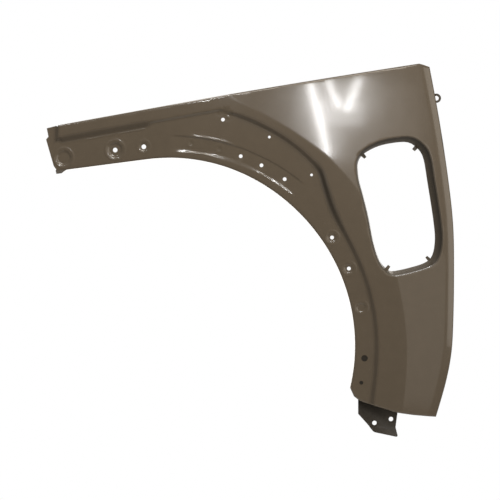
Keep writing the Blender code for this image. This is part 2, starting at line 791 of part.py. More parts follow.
def ledge_normal():
    lean = math.radians(TOP_SLOPE_DEG)
    return Vector((-math.sin(lean), 0, math.cos(lean)))


def bolt_seat(share):
    """The point on the underside of a bolt tab, beside its hole, that seats on the body."""
    root = ledge_edge(tab_centre_x(share) + SEAT_ASIDE)
    return root + Vector((0, TAB_LENGTH - TAB_HOLE_INSET, 0)) - SHEET * ledge_normal()


def build_panel(collection, cutters, parent):
    sheet, outline = panel_blank()
    press(sheet)
    loops = sorted(rim_loops(sheet), key=len)
    outer, port = loops[-1], loops[-2]
    fold_outer_edge(sheet, outer, outline)
    fold_port(sheet, port)
    steel_coat = coat("electrocoat", STEEL_COAT, STEEL_ROUGHNESS)
    panel = add_object("fender_panel", sheet, collection, parent, steel_coat)
    thicken(panel, SHEET)
    for number, share in enumerate(TAB_SHARES, 1):
        centre = ledge_edge(tab_centre_x(share)) + Vector((0, TAB_LENGTH - TAB_HOLE_INSET, 0))
        drill(panel, f"tab_hole_{number}", TAB_HOLE_RADIUS, centre, ledge_normal(), cutters)
    return panel


def between(rows, share):
    """The row of values at this share of the way through the rows."""
    step = share * (len(rows) - 1)
    i = min(int(step), len(rows) - 2)
    return [a + (b - a) * (step - i) for a, b in zip(rows[i], rows[i + 1])]


def bracket_x(share):
    return ARCH_RADIUS + BRACKET_INSET + BRACKET_WIDTH * share


def bracket_point(across, down):
    """A point of the bracket's outer side, from its shares of the way across and down."""
    left, right, left_drop, right_drop, back, lip = between(BRACKET_ROW_SHARES, down)
    x = bracket_x(left + (right - left) * across)
    z = BRACKET_TOP - BRACKET_HEIGHT * (left_drop + (right_drop - left_drop) * across)
    on_sheet = die(x, z) + SHEET + WELD_GAP
    return Vector((x, on_sheet * (1 - back) + bracket_plane() * back - BRACKET_LIP * lip, z))


def bracket_plane():
    """The depth of the bracket's flat plate, set back from the foot of its leg."""
    foot = BRACKET_ROW_SHARES[1]
    x = bracket_x(foot[1] / 2)
    z = BRACKET_TOP - BRACKET_HEIGHT * foot[2]
    return die(x, z) + SHEET + WELD_GAP + BRACKET_SETBACK


def folded_strip(columns, rows, shape):
    """A flat grid folded to shape(across, row), with its front facing -Y."""
    strip = bmesh.new()
    bmesh.ops.create_grid(strip, x_segments=columns, y_segments=rows, size=1)
    for vert in strip.verts:
        vert.co = shape((vert.co.x + 1) / 2, round((vert.co.y + 1) / 2 * rows))
    bmesh.ops.recalc_face_normals(strip, faces=strip.faces)
    if sum(face.normal.y * face.calc_area() for face in strip.faces) > 0:
        bmesh.ops.reverse_faces(strip, faces=strip.faces)
    return strip


def round_corners(strip, radius, ends):
    """Rounds the corners of the strip at the given ends, which are the points of its outline there."""
    corners = [min(strip.verts, key=lambda vert: (vert.co - end).length) for end in ends]
    bmesh.ops.bevel(
        strip, geom=corners, offset=radius, segments=3, profile=0.5, affect="VERTICES", material=-1
    )


def build_lower_bracket(collection, cutters, parent):
    rows = ROW_STEPS * (len(BRACKET_ROW_SHARES) - 1)
    strip = folded_strip(BRACKET_COLUMNS, rows, lambda across, row: bracket_point(across, row / rows))
    ends = [bracket_point(across, down) for across in (0, 1) for down in (0, 1)]
    round_corners(strip, BRACKET_CORNER, ends)
    bracket_coat = coat("bracket_coat", BRACKET_COAT, BRACKET_ROUGHNESS)
    bracket = add_object("lower_bracket", strip, collection, parent, bracket_coat)
    thicken(bracket, BRACKET_SHEET)
    for number, (across, drop) in enumerate(BRACKET_HOLE_SHARES, 1):
        centre = Vector((bracket_x(across), bracket_plane(), BRACKET_TOP - BRACKET_HEIGHT * drop))
        drill(bracket, f"bracket_hole_{number}", BRACKET_HOLE_RADIUS, centre, Vector((0, 1, 0)), cutters)
    return bracket


def ear_height():
    return TOP_REACH - EAR_DROP


def ear_stations():
    """The ear from foot to tip: offsets in X and Y, half its width, and how far it follows the flange."""
    neck = SHEET + WELD_GAP + EAR_OUT - EAR_BEND
    half_foot = EAR_FOOT_HEIGHT / 2
    found = []
    for k in range(EAR_STEPS):
        found.append((0, -EAR_FOOT_DEPTH + (EAR_FOOT_DEPTH - EAR_BEND) * k / EAR_STEPS, half_foot, 1))
    for k in range(EAR_STEPS):
        turn = math.radians(90) * k / EAR_STEPS
        narrowed = half_foot + (EAR_RADIUS - half_foot) * smooth(k / EAR_STEPS)
        found.append((EAR_BEND * (1 - math.cos(turn)), -EAR_BEND * (1 - math.sin(turn)), narrowed, 1))
    for k in range(EAR_STEPS):
        found.append((EAR_BEND + neck * k / EAR_STEPS, 0, EAR_RADIUS, 1 - k / EAR_STEPS))
    for k in range(EAR_TIP_STEPS + 1):
        turn = math.radians(EAR_TIP_DEG) * k / EAR_TIP_STEPS
        found.append((EAR_BEND + neck + EAR_RADIUS * math.sin(turn), 0, EAR_RADIUS * math.cos(turn), 0))
    return found


def edge_depth(z):
    """The depth of the painted side at the door edge, where its flange starts."""
    return die(door_edge(z), z)


def build_pillar_ear(collection, cutters, parent):
    stations = ear_stations()
    middle = ear_height()
    foot_x = door_edge(middle) - SHEET - WELD_GAP
    eye_y = edge_depth(middle) + EAR_SETBACK

    def shape(across, row):
        out, deep, half, follow = stations[row]
        z = middle + half * (2 * across - 1)
        x = foot_x + out + follow * (door_edge(z) - door_edge(middle))
        return Vector((x, eye_y + deep + follow * (edge_depth(z) - edge_depth(middle)), z))

    strip = folded_strip(EAR_COLUMNS, len(stations) - 1, shape)
    ear_coat = coat("ear_coat", BRACKET_COAT, BRACKET_ROUGHNESS)
    ear = add_object("pillar_ear", strip, collection, parent, ear_coat)
    thicken(ear, EAR_SHEET)
    eye = Vector((door_edge(middle) + EAR_OUT, eye_y, middle))
    drill(ear, "ear_hole", EAR_HOLE_RADIUS, eye, Vector((0, 1, 0)), cutters)
    return ear


def build_scene():
    for old in list(bpy.data.objects):
        bpy.data.objects.remove(old, do_unlink=True)
    scene = bpy.context.scene
    fender = bpy.data.collections.new("car_fender")
    cutters = bpy.data.collections.new("cutters")
    scene.collection.children.link(fender)
    scene.collection.children.link(cutters)
    arch_centre = bpy.data.objects.new("arch_centre", None)
    fender.objects.link(arch_centre)
    arch_centre.location = -bolt_seat(TAB_SHARES[-1])
    build_panel(fender, cutters, arch_centre)
    build_lower_bracket(fender, cutters, arch_centre)
    build_pillar_ear(fender, cutters, arch_centre)


build_scene()
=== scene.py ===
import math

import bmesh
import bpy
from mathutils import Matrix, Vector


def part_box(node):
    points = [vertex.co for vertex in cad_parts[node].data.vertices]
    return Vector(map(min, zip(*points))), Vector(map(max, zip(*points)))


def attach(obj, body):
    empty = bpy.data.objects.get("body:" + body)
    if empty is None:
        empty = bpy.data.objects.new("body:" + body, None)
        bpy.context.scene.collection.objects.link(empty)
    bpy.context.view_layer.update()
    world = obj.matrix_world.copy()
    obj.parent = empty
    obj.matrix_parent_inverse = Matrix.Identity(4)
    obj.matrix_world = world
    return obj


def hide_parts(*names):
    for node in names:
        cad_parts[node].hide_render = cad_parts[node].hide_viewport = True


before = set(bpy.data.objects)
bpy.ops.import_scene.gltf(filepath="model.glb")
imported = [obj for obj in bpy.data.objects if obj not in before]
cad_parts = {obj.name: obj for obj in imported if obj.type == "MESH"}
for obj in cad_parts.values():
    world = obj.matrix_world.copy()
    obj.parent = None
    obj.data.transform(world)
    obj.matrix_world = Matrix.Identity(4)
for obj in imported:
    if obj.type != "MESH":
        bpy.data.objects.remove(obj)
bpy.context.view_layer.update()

# %% [markdown]
# # A bare car fender in electrocoat
# The object is the left front fender of a car, as it is sold before painting: one sheet of pressed steel
# with two small welded brackets, all under the thin grey-brown primer of an electrocoat bath. It was
# photographed square-on against white, with a few bright lamps that show as streaks in the glossy skin.
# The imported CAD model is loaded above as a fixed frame. What follows dresses it: the sheet gets a finer
# surface, every piece gets its coat, and a plain studio is set round it.

for name, node in sorted(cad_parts.items()):
    print(name, "with", len(node.data.polygons), "faces")

# %% [markdown]
# ## The die
# A body panel is smooth because its die is smooth: the sheet takes the shape of one continuous surface.
# The CAD model samples that surface every 15 mm, which is enough for collision but shows facets in a
# glossy reflection. One way out is a subdivision surface, but it would pull the sharp joggle and the
# round seats out of shape. The way chosen here is to write the die surface down once more, as a depth
# for each place in side view, then to divide the CAD sheet finely and press it again. All sizes are in
# metres, about the centre of the wheel arch, X to the rear and Z up.

# %% Sizes of the panel
ARCH_CENTRE = Vector((-0.48667, -0.09492, -0.57128))
ARCH_RADIUS = 0.390
REAR_REACH = 0.593
FRONT_REACH = 0.2635
TOP_REACH = 0.594
LOW_REACH = 0.1455
TOP_SLOPE = math.radians(9.4)
TOP_CORNER_X = 0.8925 * REAR_REACH
SHEET = 0.0008

low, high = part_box("fender_panel")
print("rear edge off by", round(high.x - ARCH_CENTRE.x - REAR_REACH, 5))
print("top edge off by", round(high.z - ARCH_CENTRE.z - TOP_REACH, 5))


# %% Two curves that the die is made of
def smooth(share):
    """A soft step: 0 up to 0, 1 from 1 on, and level at both ends."""
    share = min(max(share, 0.0), 1.0)
    return share * share * (3 - 2 * share)


def curve_through(pairs, at):
    """A smooth curve through (place, share) pairs, flat past both ends."""
    if at <= pairs[0][0]:
        return pairs[0][1]
    for i in range(len(pairs) - 1):
        start, end = pairs[i], pairs[i + 1]
        if at <= end[0]:
            before, after = pairs[max(i - 1, 0)], pairs[min(i + 2, len(pairs) - 1)]
            span = end[0] - start[0]
            t = (at - start[0]) / span
            rise_in = (end[1] - before[1]) / max(end[0] - before[0], span) * span
            rise_out = (after[1] - start[1]) / max(after[0] - start[0], span) * span
            bend = (2 * t ** 3 - 3 * t ** 2 + 1) * start[1] + (t ** 3 - 2 * t ** 2 + t) * rise_in
            return bend + (3 * t ** 2 - 2 * t ** 3) * end[1] + (t ** 3 - t ** 2) * rise_out
    return pairs[-1][1]


print("halfway up a soft step:", smooth(0.5))

# %% [markdown]
# ### The crown
# The painted skin is a crowned surface. It stands upright at its widest point behind the wheel arch and
# falls away from there: strongly to the top and to the front, a little to the foot, and round a small
# roll at the door edge. Each fall is a square of the distance, so the surface stays smooth and its
# highlights flow.

# %% The crown of the skin
WIDEST_X, WIDEST_Z = 0.37, 0.16
TOP_LEAN, LOW_TUCK = 0.065, 0.018
FRONT_SWEEP, REAR_SWEEP = 0.065, 0.006
DOOR_ROLL_WIDTH, DOOR_ROLL_DEPTH = 0.022, 0.0035
DOOR_EDGE = (
    (-1.0, 0.9416), (-0.495, 0.9746), (-0.082, 0.9925), (0.084, 0.998), (0.253, 1.0), (0.421, 0.998),
    (0.578, 0.984), (0.793, 0.958), (0.989, 0.9305),
)


def door_edge(z):
    share = z / (TOP_REACH if z > 0 else LOW_REACH)
    return REAR_REACH * curve_through(DOOR_EDGE, share)


def crown(x, z):
    up = max((z - WIDEST_Z) / (TOP_REACH - WIDEST_Z), 0)
    down = max((WIDEST_Z - z) / (WIDEST_Z + LOW_REACH), 0)
    fore = max((WIDEST_X - x) / (WIDEST_X + FRONT_REACH), 0)
    aft = max((x - WIDEST_X) / (REAR_REACH - WIDEST_X), 0)
    roll = max(1 - (door_edge(z) - x) / DOOR_ROLL_WIDTH, 0)
    lean = TOP_LEAN * up ** 2 + LOW_TUCK * down ** 2
    return lean + FRONT_SWEEP * fore ** 2 + REAR_SWEEP * aft ** 2 + DOOR_ROLL_DEPTH * roll ** 2


print("fall of the skin at its top rear corner:", round(crown(TOP_CORNER_X, TOP_REACH), 4))

# %% [markdown]
# ### Crease, band, joggle and land
# The skin ends in a crease that runs round the arch. From it a band slopes in, and a joggle, which is a
# small step of one sheet's set-down, drops the band to the land where the trim of the wheel arch is
# fastened. Both lines are read off as radii about the arch centre, one for each bearing, so they can
# wander as they do on the real panel. Along the front arm the joggle follows the top edge instead.

# %% The lines round the arch
CREASE_REACH = 0.154
CREASE_SOFTNESS = 0.003
BAND_SLOPE = math.tan(math.radians(7.0))
CREASE = (
    (-20, 0.79), (-10, 0.715), (0, 0.685), (15, 0.68), (40, 0.79), (60, 0.83), (73, 0.915), (80, 1.03),
    (130, 1.12),
)
CREASE_END = 80
LAND_REACH = 0.120
JOGGLE_DEPTH = 0.005
JOGGLE_WIDTH = 0.008
LAND = (
    (-20, 0.50), (-12, 0.43), (-4, 0.40), (25, 0.40), (34, 0.43), (40, 0.51), (45, 0.66), (49, 0.81),
    (53, 0.86), (62, 0.93), (78, 1.0), (100, 1.05), (130, 1.08),
)
TOP_BAND = 0.026
FRONT_JOGGLE_WIDTH = 0.0125
FRONT_JOGGLE_REAR_X, FRONT_JOGGLE_FADE = -0.044, 0.012
FRONT_STRIP_X = -0.236
LIP_HEIGHT, LIP_HALF_WIDTH, LIP_FADE = 0.0006, 0.0028, 0.016


def polar(x, z):
    """Bearing in degrees and distance from the arch centre."""
    return math.degrees(math.atan2(z, x)), math.hypot(x, z)


def top_height(x):
    return TOP_REACH - math.tan(TOP_SLOPE) * (TOP_CORNER_X - x)


print("height of the top edge above the arch centre:", round(top_height(0), 4))


# %% Band and joggle
def band(x, z):
    bearing, radius = polar(x, z)
    inward = ARCH_RADIUS + CREASE_REACH * curve_through(CREASE, bearing) - radius
    if inward < -CREASE_SOFTNESS:
        return 0.0
    if inward > CREASE_SOFTNESS:
        return BAND_SLOPE * inward
    return BAND_SLOPE * (inward + CREASE_SOFTNESS) ** 2 / (4 * CREASE_SOFTNESS)


def into_land(x, z):
    """How far a place lies past the upper line of the joggle."""
    bearing, radius = polar(x, z)
    below_top = (top_height(x) - z) * math.cos(TOP_SLOPE) - TOP_BAND
    inside_arc = ARCH_RADIUS + LAND_REACH * curve_through(LAND, bearing) - radius
    return max(min(below_top, inside_arc), FRONT_STRIP_X - x)


def joggle_width(x):
    rear = smooth((x - FRONT_JOGGLE_REAR_X) / FRONT_JOGGLE_FADE)
    front = smooth((x - FRONT_STRIP_X) / JOGGLE_WIDTH) * (1 - rear)
    return JOGGLE_WIDTH + (FRONT_JOGGLE_WIDTH - JOGGLE_WIDTH) * front


def joggle(x, z):
    """The step itself. Along the front arm a low lip follows its foot."""
    past_foot = into_land(x, z) - joggle_width(x) - LIP_HALF_WIDTH
    on_arm = smooth((FRONT_JOGGLE_REAR_X - x) / FRONT_JOGGLE_FADE) * smooth((x - FRONT_STRIP_X) / LIP_FADE)
    lip = LIP_HEIGHT * on_arm * smooth(1 - abs(past_foot) / LIP_HALF_WIDTH)
    return JOGGLE_DEPTH * smooth(into_land(x, z) / joggle_width(x)) - lip


print("depth of the land under the crease:", round(band(0.3, 0.3) + joggle(0.3, 0.3), 4))

# %% [markdown]
# ### The track and the seats
# Thin sheet drums and buckles when it is flat, so a shallow track is pressed along the arch. Each clip
# and screw sits in a round seat, a dish with a flat floor, which keeps the fastener's head clear of the
# trim. The metal that is drawn into a dish leaves a low rim around it, and a low bead along the upper
# side of the track. They are less than a millimetre high, so the CAD leaves them out, but a glossy sheet
# shows them: the rims mirror the lamps as dots and arcs. The wall of the track on the arch side is steep
# in two places and drawn out softer between them, so it flashes only where it is steep. A row of SEATS
# is a bearing, a distance outside the arch, the seat as radii of its rim and of its floor with its
# depth, and the radius of its hole. A mark is a dish that is hardly pressed in, and a pip stands out.

# %% Track and round seats
TRACK_OFFSET, TRACK_HALF_WIDTH, TRACK_WALL, TRACK_DEPTH, TRACK_FADE = 0.0355, 0.0175, 0.004, 0.0018, 0.03
TRACK_START, TRACK_END = 49, 90
WALL_SPREAD = (
    (51.5, 1.0), (54.5, 2.6), (56.0, 2.6), (59.0, 1.0), (61.0, 1.0), (65.0, 2.8), (75.0, 2.8), (78.5, 1.0),
    (82.0, 1.0), (85.0, 2.8),
)
BEAD_HEIGHT, BEAD_HALF_WIDTH, BEAD_START, BEAD_END = 0.0009, 0.004, 71, 85
BEAD_RUN_OUT = 3
RIM_SHARE, RIM_HALF_WIDTH = 0.3, 0.0035
LARGE_SEAT = (0.0175, 0.0115, 0.003)
SMALL_SEAT = (0.0105, 0.0065, 0.0016)
FLAT_SEAT = (0.0095, 0.0060, 0.0004)
MARK = (0.0050, 0.0030, 0.0006)
PIP = (0.0032, 0.0008, -0.0007)
NO_SEAT = (0.0, 0.0, 0.0)
SEATS = (
    (119.5, 0.066, LARGE_SEAT, 0),
    (105.4, 0.038, LARGE_SEAT, 0.005),
    (97.1, 0.032, SMALL_SEAT, 0.005),
    (76.3, 0.098, NO_SEAT, 0.004),
    (77.6, 0.1123, PIP, 0),
    (75.5, 0.1177, PIP, 0),
    (75.2, 0.1051, PIP, 0),
    (83.5, 0.038, MARK, 0),
    (75.4, 0.0366, MARK, 0),
    (68.9, 0.035, FLAT_SEAT, 0.004),
    (62.5, 0.035, FLAT_SEAT, 0.004),
    (54.9, 0.035, FLAT_SEAT, 0.004),
    (64.0, 0.095, NO_SEAT, 0.0028),
    (49.9, 0.0755, NO_SEAT, 0.0028),
    (33.5, 0.020, SMALL_SEAT, 0.004),
    (23.3, 0.020, SMALL_SEAT, 0.004),
    (11.5, 0.020, SMALL_SEAT, 0),
    (-3.3, 0.020, NO_SEAT, 0.0066),
    (-10.5, 0.020, NO_SEAT, 0.004),
)


def seat_centre(bearing, outside_arch):
    angle = math.radians(bearing)
    radius = ARCH_RADIUS + outside_arch
    return radius * math.cos(angle), radius * math.sin(angle)


print("holes:", sum(1 for row in SEATS if row[3]))
print("seats, marks and pips:", sum(1 for row in SEATS if row[2] != NO_SEAT))


# %% The die as one sum
def track(x, z, wall_width=TRACK_WALL):
    bearing, radius = polar(x, z)
    from_edge = TRACK_HALF_WIDTH - abs(radius - ARCH_RADIUS - TRACK_OFFSET)
    wall = smooth((from_edge + (wall_width - TRACK_WALL) / 2) / wall_width)
    start = math.radians(bearing - TRACK_START) * radius
    end = math.radians(TRACK_END - bearing) * radius
    return TRACK_DEPTH * wall * smooth(start / TRACK_FADE) * smooth(end / TRACK_FADE)


def soft_wall(x, z):
    """How much the arch side of the track is raised where its wall was drawn out softer."""
    bearing, radius = polar(x, z)
    if radius > ARCH_RADIUS + TRACK_OFFSET:
        return 0.0
    return track(x, z) - track(x, z, TRACK_WALL * curve_through(WALL_SPREAD, bearing))


def bead(x, z):
    bearing, radius = polar(x, z)
    off = abs(radius - ARCH_RADIUS - TRACK_OFFSET - TRACK_HALF_WIDTH)
    ends = smooth((bearing - BEAD_START) / BEAD_RUN_OUT) * smooth((BEAD_END - bearing) / BEAD_RUN_OUT)
    return BEAD_HEIGHT * ends * smooth(1 - off / BEAD_HALF_WIDTH)


def seat(x, z):
    """The dish of a seat, with the low rim around it."""
    for bearing, outside_arch, (rim, floor, depth), _ in SEATS:
        centre_x, centre_z = seat_centre(bearing, outside_arch)
        out = math.hypot(x - centre_x, z - centre_z)
        if rim and out < rim + 2 * RIM_HALF_WIDTH:
            raised = RIM_SHARE * depth * smooth(1 - abs(out - rim - RIM_HALF_WIDTH) / RIM_HALF_WIDTH)
            return depth * smooth((rim - out) / (rim - floor)) - raised
    return 0.0


def die(x, z):
    """How deep the outer side of the sheet lies at a place in side view."""
    return crown(x, z) + band(x, z) + joggle(x, z) + track(x, z) + seat(x, z) - bead(x, z) - soft_wall(x, z)


print("depth of the die on the track, at 70 degrees:", round(die(*seat_centre(70, TRACK_OFFSET)), 4))

# %% [markdown]
# ## The panel: the CAD sheet, divided and pressed again
# A copy of the CAD sheet is merged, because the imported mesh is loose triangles. Each vertex is then
# marked with the side of the sheet it lies on: 1 on the outer skin, -1 on the inner skin and 0 on folds,
# flanges and edges. Blender blends such a mark when it divides an edge, so a new vertex belongs to a
# side only if both ends of its edge do. The marked vertices are put back on the die, which is the
# pressing, and the rest stay where the CAD has them, so the panel keeps its size.

# %% Helpers for copies of CAD pieces
MERGE_DISTANCE = 0.00001
SHARP_ANGLE = math.radians(38)


def merged_copy(name):
    """A bmesh of one CAD node with its loose triangles joined."""
    sheet = bmesh.new()
    sheet.from_mesh(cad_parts[name].data)
    bmesh.ops.remove_doubles(sheet, verts=sheet.verts, dist=MERGE_DISTANCE)
    return sheet


def keep_piece(sheet, name, node, finish):
    """Makes the bmesh an object that stands for a CAD node, with smooth faces and sharp sheet edges."""
    for face in sheet.faces:
        face.smooth = True
    for edge in sheet.edges:
        edge.smooth = edge.calc_face_angle(0) < SHARP_ANGLE
    mesh = bpy.data.meshes.new(name)
    sheet.to_mesh(mesh)
    sheet.free()
    mesh.materials.append(finish)
    piece = bpy.data.objects.new(name, mesh)
    bpy.context.scene.collection.objects.link(piece)
    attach(piece, "root")
    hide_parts(node)
    print(name, "has", len(mesh.polygons), "faces")


print("edges stay sharp from", round(math.degrees(SHARP_ANGLE)), "degrees on")


# %% Which side of the sheet a vertex is on
SLOPE_STEP = 0.0005
OUTER_TOLERANCE, INNER_TOLERANCE = 0.00045, 0.00035


def steepness(x, z):
    """How much longer the way through a sloping sheet is, measured along Y."""
    along = (die(x + SLOPE_STEP, z) - die(x - SLOPE_STEP, z)) / (2 * SLOPE_STEP)
    up = (die(x, z + SLOPE_STEP) - die(x, z - SLOPE_STEP)) / (2 * SLOPE_STEP)
    return math.sqrt(1 + along * along + up * up)


def side_of(place):
    """The CAD sheet has no bead and no soft wall, so they are taken off the die before it is compared."""
    plain_die = die(place.x, place.z) + bead(place.x, place.z) + soft_wall(place.x, place.z)
    depth = place.y - plain_die
    if abs(depth) < OUTER_TOLERANCE and abs(depth) < abs(depth - SHEET):
        return 1.0
    if abs(depth - SHEET * steepness(place.x, place.z)) < INNER_TOLERANCE:
        return -1.0
    return 0.0


panel = merged_copy("fender_panel")
side = panel.verts.layers.float.new("side of the sheet")
for vert in panel.verts:
    vert[side] = side_of(vert.co - ARCH_CENTRE)
for name, mark in (("outer", 1), ("inner", -1), ("edges and flanges", 0)):
    print(name, "vertices:", sum(1 for vert in panel.verts if vert[side] == mark))


# %% Divide: everything once, the outer skin once more, and again where small shapes are
FINE_LENGTH = 0.002
FULL_MARK = 0.999


def on_outer_skin(edge):
    return all(vert[side] > FULL_MARK for vert in edge.verts)


def near_small_shape(place):
    bearing, radius = polar(place.x, place.z)
    from_track = abs(abs(radius - ARCH_RADIUS - TRACK_OFFSET) - TRACK_HALF_WIDTH)
    from_crease = abs(ARCH_RADIUS + CREASE_REACH * curve_through(CREASE, bearing) - radius)
    if TRACK_START < bearing < TRACK_END and from_track < 2 * BEAD_HALF_WIDTH:
        return True
    if bearing < CREASE_END and from_crease < 3 * CREASE_SOFTNESS:
        return True
    if abs(into_land(place.x, place.z) - joggle_width(place.x)) < 3 * LIP_HALF_WIDTH:
        return True
    for bearing, outside_arch, (rim, _, _), hole in SEATS:
        centre_x, centre_z = seat_centre(bearing, outside_arch)
        if math.hypot(place.x - centre_x, place.z - centre_z) < max(rim, hole) + 3 * RIM_HALF_WIDTH:
            return True
    return False


bmesh.ops.subdivide_edges(panel, edges=panel.edges, cuts=1, use_grid_fill=True)
outer_edges = [edge for edge in panel.edges if on_outer_skin(edge)]
bmesh.ops.subdivide_edges(panel, edges=outer_edges, cuts=1, use_grid_fill=True)
fine_edges = []
for edge in panel.edges:
    if on_outer_skin(edge) and edge.calc_length() > FINE_LENGTH:
        if all(near_small_shape(vert.co - ARCH_CENTRE) for vert in edge.verts):
            fine_edges.append(edge)
bmesh.ops.subdivide_edges(panel, edges=fine_edges, cuts=1, use_grid_fill=True)
print("the sheet has", len(panel.faces), "faces,", len(fine_edges), "edges were divided again")


# %% Press, and open the holes to true circles
RING_LOW, RING_HIGH = 0.94, 1.01


def press(vert):
    """Puts a vertex on the die. On the ring of a hole it first goes to the true circle."""
    place = vert.co - ARCH_CENTRE
    for bearing, outside_arch, _, hole in SEATS:
        centre_x, centre_z = seat_centre(bearing, outside_arch)
        out = math.hypot(place.x - centre_x, place.z - centre_z)
        if hole and RING_LOW * hole < out < RING_HIGH * hole:
            place.x = centre_x + (place.x - centre_x) * hole / out
            place.z = centre_z + (place.z - centre_z) * hole / out
    thick = SHEET * steepness(place.x, place.z) if vert[side] < 0 else 0.0
    vert.co = ARCH_CENTRE + Vector((place.x, die(place.x, place.z) + thick, place.z))


moved = 0.0
for vert in panel.verts:
    if abs(vert[side]) > FULL_MARK:
        before = vert.co.copy()
        press(vert)
        moved = max(moved, (vert.co - before).length)
print("the furthest that the press moved a vertex:", round(moved, 5))

# %% [markdown]
# ### Painted shade in the recesses
# The joggle and the wall of the port get painted shade: their coat is painted darker where the real
# panel lies in shade, as less light reaches them. A second mark tells the coat how much of this painted
# shade a vertex gets, from 0 in the open to 1. The painted shade of the joggle is given by bearing. It
# is strong and broad behind the arch, broad but faint above it, missing round the top hole, and faint
# along the front arm and towards the foot. Rays sent into the folds could find the shade too, but a
# mark on the vertices is steady and can follow the photo.

# %% How much painted shade a vertex gets in a recess
PORT_LOW, PORT_HIGH = (0.385, 0.140), (0.575, 0.445)
PORT_DEPTH = 0.024
PORT_SHADE = ((0.150, 0.50), (0.205, 1.0))
EDGE_LIGHT = 0.7
# Painted shade along the joggle by bearing, and how far it spreads to each side
JOGGLE_SHADE = (
    (-20, 0.32), (20, 0.28), (32, 0.42), (39, 0.72), (48, 0.76), (52, 0.30), (72, 0.30), (78, 0), (93, 0),
    (96, 0.36),
)
SHADE_SPREAD = (
    (33, 0.004), (39, 0.0085), (48, 0.0085), (72, 0.0085), (76, 0.004), (93, 0.004), (97, 0.006),
)


def in_port(place):
    return PORT_LOW[0] < place.x < PORT_HIGH[0] and PORT_LOW[1] < place.z < PORT_HIGH[1]


def port_shade(place):
    """Painted shade on the wall of the port: darkest under its fold, lighter at its free edge and along its
    foot.
    """
    depth = place.y - crown(place.x, place.z)
    towards_edge = smooth(2 * depth / PORT_DEPTH - EDGE_LIGHT)
    return (1 - EDGE_LIGHT * towards_edge) * curve_through(PORT_SHADE, place.z)


# Painted shade: along the joggle by bearing, and on the wall of the port
def painted_shade_at(vert):
    place = vert.co - ARCH_CENTRE
    if abs(vert[side]) > FULL_MARK:
        half_width = joggle_width(place.x) / 2
        off = abs(into_land(place.x, place.z) - half_width)
        bearing = polar(place.x, place.z)[0]
        spread = curve_through(SHADE_SPREAD, bearing)
        near = smooth(1 - (off - half_width / 2) / (half_width / 2 + spread))
        return near * curve_through(JOGGLE_SHADE, bearing)
    return port_shade(place) if in_port(place) else 0.0


# A mark of painted shade on each vertex of the panel
painted_shade = panel.verts.layers.float.new("painted_shade")
for vert in panel.verts:
    vert[painted_shade] = painted_shade_at(vert)
print("vertices in a recess:", sum(1 for vert in panel.verts if vert[painted_shade] > 0.5))

# %% [markdown]
# ## Writing a finish as sums
# A procedural material is arithmetic on patterns. Wiring Math nodes by hand hides that arithmetic, so a
# small class wraps a socket and turns +, - and * into Math nodes, and one method adds any other node.
# Colours are blended with Mix nodes, because a Math node would turn them grey.


# %% A socket that can be added and multiplied
class Wire:
    def __init__(self, wiring, socket):
        self.wiring = wiring
        self.socket = socket

    def maths(self, operation, first, second):
        sockets = {0: first, 1: second}
        return self.wiring.node("ShaderNodeMath", {"operation": operation}, sockets).out("Value")

    def __add__(self, other):
        return self.maths("ADD", self, other)

    def __radd__(self, other):
        return self.maths("ADD", other, self)

    def __sub__(self, other):
        return self.maths("SUBTRACT", self, other)

    def __rsub__(self, other):
        return self.maths("SUBTRACT", other, self)

    def __mul__(self, other):
        return self.maths("MULTIPLY", self, other)

    def __rmul__(self, other):
        return self.maths("MULTIPLY", other, self)

    def highest(self, other):
        return self.maths("MAXIMUM", self, other)

    def between(self, low, high, edge="SMOOTHSTEP"):
        """A mask: 0 where the value is at low, 1 where it is at high."""
        sockets = {"Value": self, "From Min": low, "From Max": high}
        return self.wiring.node("ShaderNodeMapRange", {"interpolation_type": edge}, sockets).out("Result")


class Placed:
    """One node of a wiring. out() gives an output as a Wire."""

    def __init__(self, wiring, shader_node):
        self.wiring = wiring
        self.shader_node = shader_node

    def out(self, name):
        return Wire(self.wiring, self.shader_node.outputs[name])


print("a wire can be added, taken away and multiplied")


# %% A wiring: a node tree, built node by node
class Wiring:
    def __init__(self, tree):
        self.tree = tree
        self.tree.nodes.clear()

    def node(self, kind, settings=None, sockets=None):
        """Adds a node: its settings first, then a value or a Wire for each socket."""
        made = self.tree.nodes.new(kind)
        for name, value in (settings or {}).items():
            setattr(made, name, value)
        for name, value in (sockets or {}).items():
            if isinstance(value, Wire):
                self.tree.links.new(value.socket, made.inputs[name])
            else:
                made.inputs[name].default_value = value
        return Placed(self, made)

    def blend(self, share, first, second):
        """A Mix node for colours. Its sockets share their names, so they go by number."""
        sockets = {0: share, 6: first, 7: second}
        return self.node("ShaderNodeMix", {"data_type": "RGBA"}, sockets).out(2)


print("a wiring takes nodes and blends colours")


